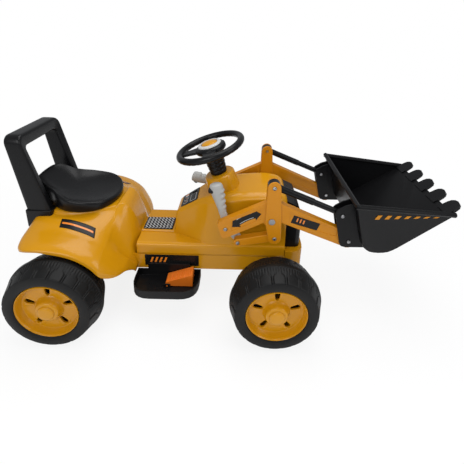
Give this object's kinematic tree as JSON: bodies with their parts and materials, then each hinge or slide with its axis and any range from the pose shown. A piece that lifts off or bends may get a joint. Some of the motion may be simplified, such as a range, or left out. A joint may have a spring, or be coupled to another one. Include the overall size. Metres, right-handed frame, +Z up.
{
  "type": "kids electric ride-on loader",
  "caption": "Child's battery ride-on front loader with tilting bucket, lift arms, hand levers, steering wheel, saddle seat with back handle, mudguards and four dished wheels.",
  "frame": {"origin": "middle of the overall length and width, on the ground", "axes": "+X forwards to the bucket, +Y to the vehicle's left, +Z up"},
  "size_m": [1.1518, 0.5176, 0.494],
  "materials": {
    "yellow_plastic": "gloss moulded",
    "orange_plastic": "semi-gloss moulded",
    "black_plastic": "satin moulded",
    "tyre_plastic": "matt moulded tread",
    "grey_plastic": "satin grey",
    "zinc_steel": "zinc plated"
  },
  "bodies": {
    "root": {"chassis_tray": "yellow_plastic", "rear_shell": "yellow_plastic", "front_body": "yellow_plastic", "tread_plate": "black_plastic", "dash_panel": "black_plastic", "grille": "black_plastic", "column_boot": "black_plastic", "seat": "black_plastic", "back_handle": "black_plastic", "footrest_right": "black_plastic", "footrest_left": "black_plastic", "battery": "black_plastic", "gear_motor": "black_plastic", "rear_axle": "zinc_steel", "front_axle_beam": "black_plastic"},
    "pedal_body": {"pedal": "orange_plastic"},
    "steering": {"steering_wheel": "black_plastic", "horn_ring": "grey_plastic", "steering_shaft": "zinc_steel"},
    "horn": {"horn_button": "yellow_plastic"},
    "knuckle_right_body": {"knuckle_right": "zinc_steel"},
    "knuckle_left_body": {"knuckle_left": "zinc_steel"},
    "tie": {"tie_rod": "zinc_steel"},
    "boom": {"boom_right": "yellow_plastic", "boom_left": "yellow_plastic", "boom_axle": "zinc_steel", "boom_bolt_right": "zinc_steel", "boom_bolt_left": "zinc_steel"},
    "lever_right_body": {"lever_right": "grey_plastic"},
    "lever_left_body": {"lever_left": "grey_plastic"},
    "link": {"lower_link_right": "orange_plastic", "link_bolt_right": "zinc_steel"},
    "bucket_body": {"bucket": "black_plastic", "bucket_bolt_top_right": "zinc_steel", "bucket_bolt_low_right": "zinc_steel", "bucket_bolt_top_left": "zinc_steel", "bucket_bolt_low_left": "zinc_steel"},
    "rocker_right": {"rocker_inner_right": "orange_plastic", "rocker_outer_right": "orange_plastic", "rocker_bolt_top_right": "zinc_steel", "rocker_bolt_low_right": "zinc_steel"},
    "rod_right": {"push_rod_right": "black_plastic"},
    "wheel_rear_right": {"tyre_rear_right": "tyre_plastic", "rim_rear_right": "yellow_plastic", "hub_cap_rear_right": "yellow_plastic"},
    "wheel_front_right": {"tyre_front_right": "tyre_plastic", "rim_front_right": "yellow_plastic", "hub_cap_front_right": "yellow_plastic"},
    "rocker_left": {"rocker_inner_left": "orange_plastic", "rocker_outer_left": "orange_plastic", "rocker_bolt_top_left": "zinc_steel", "rocker_bolt_low_left": "zinc_steel"},
    "rod_left": {"push_rod_left": "black_plastic"},
    "wheel_rear_left": {"tyre_rear_left": "tyre_plastic", "rim_rear_left": "yellow_plastic", "hub_cap_rear_left": "yellow_plastic"},
    "wheel_front_left": {"tyre_front_left": "tyre_plastic", "rim_front_left": "yellow_plastic", "hub_cap_front_left": "yellow_plastic"}
  },
  "joints": [
    {"name": "rear_wheel_right_spin", "type": "hinge", "parent": "root", "child": "wheel_rear_right", "pos_m": [-0.43311, -0.2065, 0.1155], "axis": [0, 1, 0], "continuous": true},
    {"name": "rear_wheel_left_spin", "type": "hinge", "parent": "root", "child": "wheel_rear_left", "pos_m": [-0.43311, 0.2065, 0.1155], "axis": [0, 1, 0], "continuous": true},
    {"name": "steering_turn", "type": "hinge", "parent": "root", "child": "steering", "pos_m": [-0.07211, 0, 0.448], "axis": [-0.3156, 0, 0.9489], "range_deg": [-40, 40]},
    {"name": "horn_press", "type": "slide", "parent": "steering", "child": "horn", "axis": [0.3156, 0, -0.9489], "range_m": [0, 0.003], "stiffness_N_per_m": 500, "springref_m": -0.001},
    {"name": "knuckle_right_turn", "type": "hinge", "parent": "root", "child": "knuckle_right_body", "pos_m": [0.11089, -0.13, 0.1155], "axis": [0, 0, 1], "range_deg": [-18, 18]},
    {"name": "front_wheel_right_spin", "type": "hinge", "parent": "knuckle_right_body", "child": "wheel_front_right", "pos_m": [0.11089, -0.2065, 0.1155], "axis": [0, 1, 0], "continuous": true},
    {"name": "knuckle_left_turn", "type": "hinge", "parent": "root", "child": "knuckle_left_body", "pos_m": [0.11089, 0.13, 0.1155], "axis": [0, 0, 1], "range_deg": [-18, 18]},
    {"name": "front_wheel_left_spin", "type": "hinge", "parent": "knuckle_left_body", "child": "wheel_front_left", "pos_m": [0.11089, 0.2065, 0.1155], "axis": [0, 1, 0], "continuous": true},
    {"name": "tie_rod_turn", "type": "hinge", "parent": "knuckle_right_body", "child": "tie", "pos_m": [0.05689, -0.13, 0.1072], "axis": [0, 0, 1], "range_deg": [-18, 18]},
    {"name": "pedal_press", "type": "hinge", "parent": "root", "child": "pedal_body", "pos_m": [-0.17611, -0.115, 0.0905], "axis": [0, 1, 0], "range_deg": [0, 4], "stiffness_Nm_per_rad": 2, "springref_deg": -2.86},
    {"name": "boom_lift", "type": "hinge", "parent": "root", "child": "boom", "pos_m": [0.09689, 0, 0.3015], "axis": [0, -1, 0], "range_deg": [-15, 28]},
    {"name": "bucket_tilt", "type": "hinge", "parent": "boom", "child": "bucket_body", "pos_m": [0.30139, 0, 0.2475], "axis": [0, -1, 0], "range_deg": [-42, 8]},
    {"name": "rocker_right_turn", "type": "hinge", "parent": "boom", "child": "rocker_right", "pos_m": [0.09689, -0.12, 0.3015], "axis": [0, -1, 0], "range_deg": [-33.3, 6.8]},
    {"name": "rod_right_turn", "type": "hinge", "parent": "rocker_right", "child": "rod_right", "pos_m": [0.09789, -0.12, 0.3965], "axis": [0, -1, 0], "range_deg": [-7.7, 37.7]},
    {"name": "rocker_left_turn", "type": "hinge", "parent": "boom", "child": "rocker_left", "pos_m": [0.09689, 0.12, 0.3015], "axis": [0, -1, 0], "range_deg": [-33.3, 6.8]},
    {"name": "rod_left_turn", "type": "hinge", "parent": "rocker_left", "child": "rod_left", "pos_m": [0.09789, 0.12, 0.3965], "axis": [0, -1, 0], "range_deg": [-7.7, 37.7]},
    {"name": "lever_right_turn", "type": "hinge", "parent": "boom", "child": "lever_right_body", "pos_m": [-0.02111, -0.106, 0.272], "axis": [0, -1, 0], "range_deg": [-32.1, 6.6]},
    {"name": "link_turn", "type": "hinge", "parent": "lever_right_body", "child": "link", "pos_m": [0.01189, -0.12, 0.231], "axis": [0, -1, 0], "range_deg": [-8.2, 40.3]},
    {"name": "lever_left_turn", "type": "hinge", "parent": "boom", "child": "lever_left_body", "pos_m": [-0.02111, 0.106, 0.272], "axis": [0, -1, 0], "range_deg": [-60, 5]}
  ],
  "couplings": [
    {"joint": "rocker_right_turn", "follows": "bucket_tilt", "ratio": 0.779},
    {"joint": "rod_right_turn", "follows": "bucket_tilt", "ratio": -0.8823},
    {"joint": "rocker_left_turn", "follows": "bucket_tilt", "ratio": 0.779},
    {"joint": "rod_left_turn", "follows": "bucket_tilt", "ratio": -0.8823},
    {"joint": "lever_right_turn", "follows": "bucket_tilt", "ratio": 0.7492},
    {"joint": "link_turn", "follows": "bucket_tilt", "ratio": -0.9462},
    {"joint": "knuckle_right_turn", "follows": "steering_turn", "ratio": 0.45},
    {"joint": "knuckle_left_turn", "follows": "steering_turn", "ratio": 0.45},
    {"joint": "tie_rod_turn", "follows": "steering_turn", "ratio": -0.45}
  ]
}
